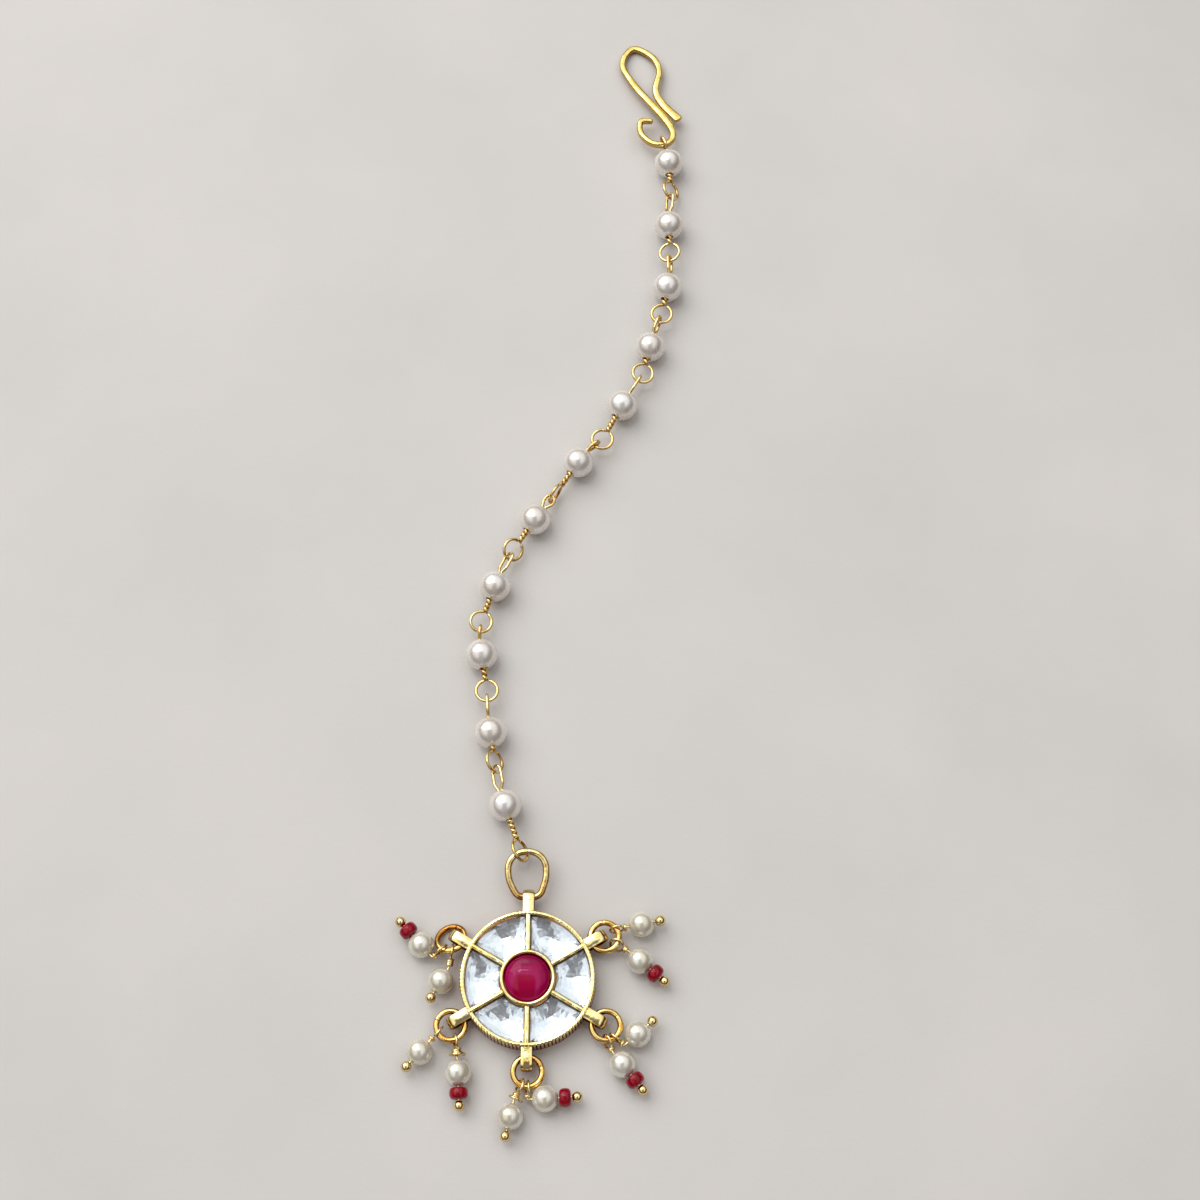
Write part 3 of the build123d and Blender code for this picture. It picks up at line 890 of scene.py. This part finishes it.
def add_rim(shape):
    """Back plate and ribbed rim, with a slight hand-made unevenness at its top."""
    r = MEDALLION_R
    low = r - 0.02
    inner = MEDALLION_R - RIM_T
    # radius, height and the ribs' depth there, up the side and over the top
    section = [(r - 0.1, 0.0, 0), (r, 0.1, 0), (r, 0.3, 0), (low, 0.4, 1), (low, 1.3, 1), (low, 2.3, 1)]
    section += [(low, 3.0, 1), (low, 3.2, 1), (r - 0.07, 3.38, 0.9), (r - 0.12, 3.52, 0.6)]
    section += [(r - 0.22, 3.59, 0.2), (inner + 0.13, MEDALLION_H, 0), (inner + 0.04, 3.55, 0)]
    section += [(inner, 3.38, 0), (inner, BACK_T, 0)]
    segments = RIB_COUNT * 6
    rows = []
    for radius, height, ribbed in section:
        row = []
        for k in range(segments):
            a = 360 * k / segments
            rib = RIB_DEPTH * ribbed * (1 - min(1, 1.7 * abs(math.cos(math.radians(a * RIB_COUNT / 2)))))
            wave = 0.03 * noise.noise(heading(a) * 2.6 + Z * height * 0.4)
            row.append(heading(a) * (radius - rib + (wave if height > 3.2 else 0)) + Z * height)
        rows.append(row)
    shape.skin(rows, capped=True)


def add_collet(shape):
    """Round wall that holds the ruby, with a softened lip."""
    r, t = COLLET_R, COLLET_T
    section = [(r, BACK_T - 0.1), (r, 3.8), (r - 0.07, 4.0), (r - 0.2, 4.1), (r - 0.42, 4.1)]
    section += [(r - 0.56, 4.04), (r - t, 3.9), (r - t, BACK_T - 0.1)]
    segments = 96
    rows = []
    for k in range(segments):
        a = 360 * k / segments
        wave = 0.025 * noise.noise(heading(a) * 2.0 + Z * 7)
        rows.append([heading(a) * (x + (wave if z > 3 else 0)) + Z * z for x, z in section])
    shape.skin(rows, closed=True, flip=True)


def add_spoke(shape, number, along):
    """Wall from the collet to the rim, of slightly uneven width and height."""
    across = Z.cross(along)
    half = SPOKE_T / 2
    section = [(-half, BACK_T - 0.1), (-half, 3.4), (-half + 0.05, 3.53), (-half + 0.13, 3.59)]
    section += [(-y, z) for y, z in section[::-1]]
    steps = 24
    start, end = COLLET_R - 0.3, MEDALLION_R - 0.35
    rows = []
    for k in range(steps + 1):
        x = start + (end - start) * k / steps
        wide = 1 + 0.09 * noise.noise(Vector((x * 0.9, number * 4.1, 0)))
        high = 0.03 * noise.noise(Vector((x * 1.1, number * 3.3, 5)))
        rows.append([along * x + across * y * wide + Z * (z + (high if z > 3 else 0)) for y, z in section])
    shape.skin(rows, flip=True, capped=True)


def add_tab(shape, number, along):
    """Strip curled into a long eye, with both ends in the rim."""
    across = Z.cross(along)
    half_w, half_t = TAB_W / 2, TAB_T / 2
    top = [(-half_w, half_t - 0.16), (0.05 - half_w, half_t - 0.07), (0.2 - half_w, half_t - 0.01)]
    top += [(-half_w * 0.4, half_t + 0.03)]
    section = top + [(0, half_t + 0.04)] + [(-y, h) for y, h in top[::-1]]
    section += [(half_w, 0.05 - half_t), (half_w - 0.06, -half_t)]
    section += [(0.06 - half_w, -half_t), (-half_w, 0.05 - half_t)]
    # outward over the top, round the end and back underneath
    run = [TAB_ROOT + 0.3 * k for k in range(6)]
    path = [(x, TAB_Z + TAB_MID_R, math.pi / 2) for x in run]
    for k in range(17):
        a = math.radians(90 - 180 * k / 16)
        path.append((TAB_REACH + TAB_LENGTH + TAB_MID_R * math.cos(a), TAB_Z + TAB_MID_R * math.sin(a), a))
    path += [(x, TAB_Z - TAB_MID_R, -math.pi / 2) for x in run[::-1]]
    rows = []
    for x, z, a in path:
        normal = along * math.cos(a) + Z * math.sin(a)
        dent = 0.03 * noise.noise(Vector((x, z, number * 2.7)))
        centre = along * x + Z * z
        rows.append([centre + across * y * (1 + dent) + normal * (h + dent) for y, h in section])
    shape.skin(rows, flip=True, capped=True)


def setting_piece():
    """The medallion's soldered metal."""
    shape = Shape()
    add_rim(shape)
    add_collet(shape)
    for i in range(SECTORS):
        add_spoke(shape, i, heading(FIRST_SPOKE + SECTOR * i))
    for i in range(SECTORS):
        add_tab(shape, i, heading(FIRST_SPOKE + SECTOR * i))
    return shape.build("setting_metal", GOLD, sharp=38)


for i in range(SECTORS):
    angle = FIRST_SPOKE + SECTOR * i
    show(foil_piece(i + 1, angle), "clear_glass")
    show(stone_piece(i + 1, angle), "clear_glass", f"kundan_stone_{i + 1}")
show(ruby_piece(), "ruby_glass", "ruby")
show(ruby_foil(), "ruby_glass")
show(setting_piece(), "gold_plate", "setting")


# ---- rings ----
def pendant_ring_piece():
    """Pear-shaped ring of slightly flattened wire through the top tab."""
    left = -PENDANT_HALF_W - PENDANT_SHIFT
    right = PENDANT_HALF_W - PENDANT_SHIFT
    outline = [
        (0, PENDANT_LOW_Y),
        (PENDANT_LOW_HALF_W, PENDANT_LOW_Y),
        (right, PENDANT_SHOULDER_Y),
        (right, PENDANT_TOP_Y),
        (left, PENDANT_TOP_Y),
        (left, PENDANT_SHOULDER_Y),
        (-PENDANT_LOW_HALF_W, PENDANT_LOW_Y),
        (0, PENDANT_LOW_Y),
    ]
    points = [Vector((x, y, TAB_Z + (y - PENDANT_LOW_Y) * PENDANT_RISE)) for x, y in outline]
    path = rounded(points, PENDANT_BENDS)[:-1]
    sides = 24
    rows = []
    for i, p in enumerate(path):
        tangent = (path[(i + 1) % len(path)] - path[i - 1]).normalized()
        across = Z.cross(tangent).normalized()
        up = tangent.cross(across)
        row = []
        for k in range(sides):
            a = 2 * math.pi * k / sides
            x = math.cos(a) * RING_WIRE_R
            z = swelled(math.sin(a), 0.75) * RING_WIRE_R * 0.92
            q = p + across * x + up * z
            dent = 0.02 * noise.noise(q * 0.9)
            row.append(q + (across * x + up * z).normalized() * dent)
        rows.append(row)
    shape = Shape()
    shape.skin(rows, closed=True)
    return shape.build("pear_ring", GOLD)


def jump_ring_piece(number, ring):
    """Ring of wire with the fine cut where its ends meet."""
    tilt = math.radians(ring.lean)
    axis = heading(ring.toward) * math.sin(tilt) + Z * math.cos(tilt)
    first = (heading(ring.cut) - axis * heading(ring.cut).dot(axis)).normalized()
    centre = Vector((ring.x, ring.y, ring.z))
    half_cut = 1.1  # degrees
    shape = Shape()
    shape.tube(arc(centre, first, axis.cross(first), JUMP_R, half_cut, 360 - half_cut, 72), JUMP_WIRE_R, 18)
    return shape.build(f"ring_{number}", RING_GOLD)


show(pendant_ring_piece(), "gold_plate", "pendant_ring")
for i, ring in enumerate(JUMP_RINGS, 1):
    show(jump_ring_piece(i, ring), "gold_plate", f"jump_ring_{i}")


# ---- floor, light, world, in metres ----
def floor_piece():
    """Plain pale floor."""
    n = new_material("floor")
    pale = n.ramp(n.noise(0.02, 4.0), [(0.3, (0.66, 0.645, 0.62)), (0.7, (0.72, 0.70, 0.675))])
    n.set(Base_Color=pale, Roughness=0.75, Specular_IOR_Level=0.2)
    n.bump(n.noise(1.6, 5.0), 0.03)
    mesh = bpy.data.meshes.new("floor")
    half = 2.5
    corners = [(-half, -half, 0), (half, -half, 0), (half, half, 0), (-half, half, 0)]
    mesh.from_pydata(corners, [], [(0, 1, 2, 3)])
    mesh.materials.append(n.owner)
    obj = bpy.data.objects.new("floor", mesh)
    bpy.context.scene.collection.objects.link(obj)


LAMP_AIM = Vector((0, 0.06, 0))


def lamp(name, place, size, power, color):
    """Soft rectangular lamp that faces the chain."""
    data = bpy.data.lights.new(name, "AREA")
    data.shape = "RECTANGLE"
    data.size, data.size_y = size
    data.energy = power
    data.color = color
    obj = bpy.data.objects.new(name, data)
    obj.location = place
    obj.rotation_euler = (LAMP_AIM - Vector(place)).to_track_quat("-Z", "Y").to_euler()
    bpy.context.scene.collection.objects.link(obj)


def room():
    """World: bright ceiling, brown walls all round and a grey figure leaning in from -Y."""
    world = bpy.data.worlds.new("room")
    bpy.context.scene.world = world
    n = Nodes(world, "BACKGROUND", "Generated")
    toward = n.add("VectorMath")
    toward.operation = "DOT_PRODUCT"
    n.feed(toward.inputs[0], n.coords)
    n.feed(toward.inputs[1], Vector((-0.12, 0.2, 0.97)).normalized())
    # from the walls up to the ceiling
    stops = [(0.0, (0.05, 0.028, 0.014)), (0.42, (0.08, 0.048, 0.028)), (0.55, (0.56, 0.54, 0.52))]
    stops += [(0.72, (0.86, 0.86, 0.87)), (0.96, (0.98, 0.98, 0.98))]
    walls = n.ramp(toward.outputs["Value"], stops)
    # the figure widens downward from a blunt top just past the zenith
    place = n.axes(n.coords)
    near = n.math("MULTIPLY", n.math("SUBTRACT", place["Y"], 0.08), -1.0)
    width = n.math("ADD", n.math("MULTIPLY", near, 0.12), 0.24)
    inside = n.math("SUBTRACT", width, n.math("ABSOLUTE", place["X"]))
    edges = [n.spread(value, 0.0, 1.0, -0.03, 0.03, "SMOOTHSTEP") for value in (inside, near)]
    n.set(Color=n.mix(n.math("MULTIPLY", *edges), walls, (0.17, 0.155, 0.155)), Strength=1.15)


floor_piece()
lamp("window", (-0.55, 0.62, 0.75), (1.0, 0.8), 5.0, (1.0, 0.985, 0.96))
lamp("bulb", (-0.12, 0.22, 0.72), (0.16, 0.16), 0.5, (1.0, 0.99, 0.97))
room()
bpy.context.scene.view_settings.view_transform = "Standard"
